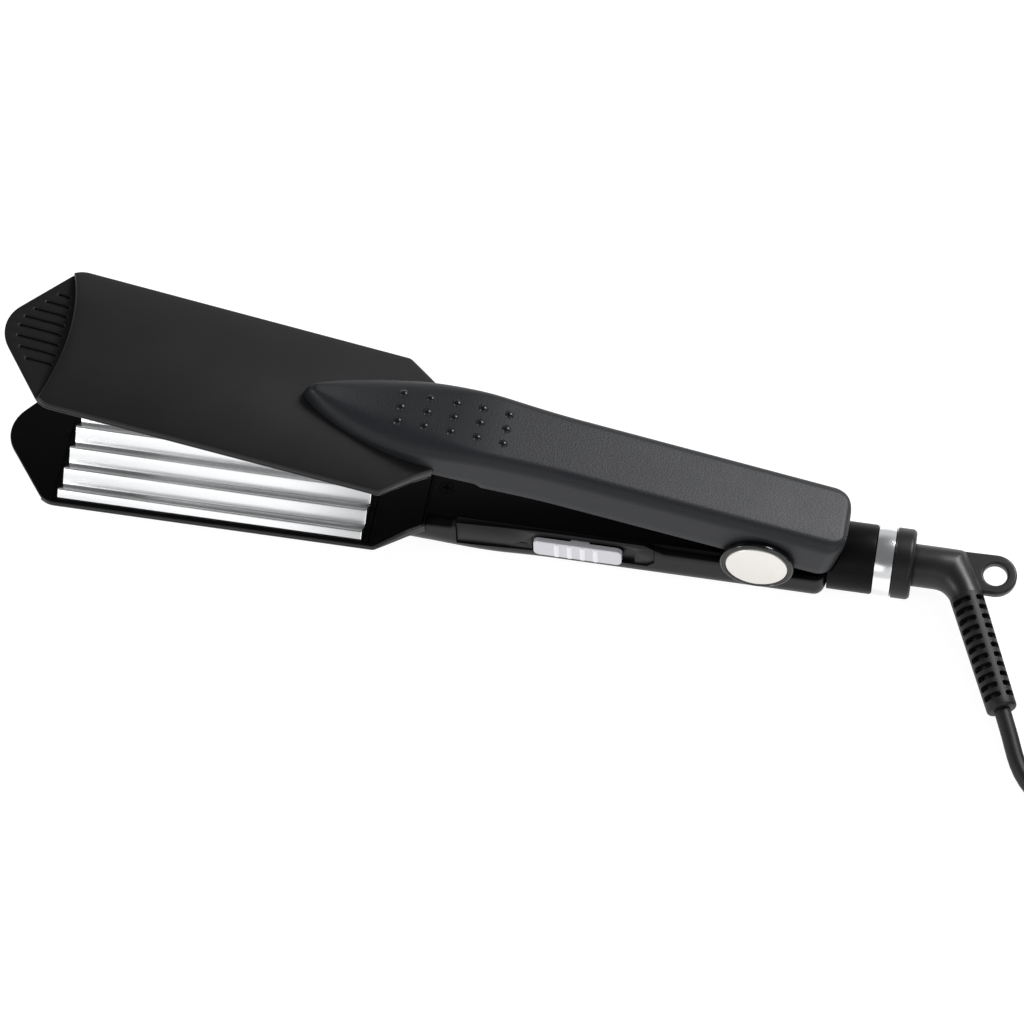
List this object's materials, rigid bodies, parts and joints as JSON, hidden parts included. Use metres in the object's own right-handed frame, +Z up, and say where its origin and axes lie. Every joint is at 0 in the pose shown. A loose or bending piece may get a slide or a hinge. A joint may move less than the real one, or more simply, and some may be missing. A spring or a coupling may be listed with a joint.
{
  "type": "hair waver",
  "caption": "Hair waver with two hinged arms, deep-wave aluminium plates, teardrop grips, a slide switch and a swivelling cord end with a hang eye.",
  "frame": {"origin": "on the table under the middle of the object without its cord", "axes": "+X along the arms towards the cord end, +Y to the left of it, +Z up"},
  "size_m": [0.5058, 0.1282, 0.0792],
  "materials": {
    "black_plastic": "fine satin moulded black",
    "skin_black": "satin black lacquer",
    "soft_grip": "dark slate grey, soft-touch, fine grain",
    "plate_aluminium": "drawn aluminium, fine lines along the waves",
    "heater_ceramic": "matt",
    "mica": "matt",
    "heat_plastic": "matt",
    "screw_black": "black oxide",
    "lead_sleeve": "woven sleeve",
    "wire_brown": "plain",
    "gloss_black": "gloss",
    "slider_silver": "satin silver",
    "board_green": "lacquered",
    "switch_metal": "plain",
    "ring_bright": "polished",
    "bush_plastic": "plain",
    "pin_steel": "ground",
    "spring_steel": "drawn",
    "cap_satin": "satin, turned",
    "swivel_black": "satin",
    "cord_rubber": "satin rubber",
    "tie_plastic": "matt",
    "plug_metal": "nickel plated"
  },
  "bodies": {
    "lower_arm": {"lower_frame": "black_plastic", "lower_skin": "skin_black", "lower_grip": "soft_grip", "lower_plate": "plate_aluminium", "lower_heater": "heater_ceramic", "lower_insulator": "mica", "lower_heat_frame": "heat_plastic", "lower_inner_cover": "black_plastic", "lower_screws": "screw_black", "lower_leads": "lead_sleeve", "switch_panel": "gloss_black", "control_board": "board_green", "slide_switch": "switch_metal", "mains_leads": "wire_brown", "neck_tube": "black_plastic", "neck_ring": "ring_bright", "end_cap": "black_plastic", "swivel_bush": "bush_plastic", "hinge_pin": "pin_steel", "opening_spring": "spring_steel", "hinge_leads": "lead_sleeve", "pivot_bezel_near": "gloss_black", "pivot_bezel_far": "gloss_black", "pivot_cap_near": "cap_satin", "pivot_cap_far": "cap_satin", "cord_tube": "cord_rubber", "cord_hank": "cord_rubber", "cord_tail": "cord_rubber", "cord_tie": "tie_plastic", "plug_body": "cord_rubber", "plug_pins": "plug_metal"},
    "upper_arm": {"upper_frame": "black_plastic", "upper_skin": "skin_black", "upper_grip": "soft_grip", "upper_plate": "plate_aluminium", "upper_heater": "heater_ceramic", "upper_insulator": "mica", "upper_heat_frame": "heat_plastic", "upper_inner_cover": "black_plastic", "upper_screws": "screw_black", "upper_leads": "lead_sleeve"},
    "swivel": {"swivel_stem": "swivel_black", "swivel_elbow": "swivel_black", "strain_relief": "cord_rubber"},
    "switch": {"switch_slider": "slider_silver"}
  },
  "joints": [
    {"name": "arm_hinge", "type": "hinge", "parent": "lower_arm", "child": "upper_arm", "pos_m": [0.08278, 0, 0.0206], "axis": [0, -1, 0], "range_deg": [0, 13], "stiffness_Nm_per_rad": 1, "springref_deg": -20.05, "deforming": ["opening_spring", "hinge_leads"]},
    {"name": "switch_slide", "type": "slide", "parent": "lower_arm", "child": "switch", "axis": [1, 0, 0], "range_m": [0, 0.003]},
    {"name": "cord_swivel", "type": "hinge", "parent": "lower_arm", "child": "swivel", "pos_m": [0.13278, 0, 0.0114], "axis": [-1, 0, 0], "continuous": true, "deforming": ["cord_tube"]}
  ]
}
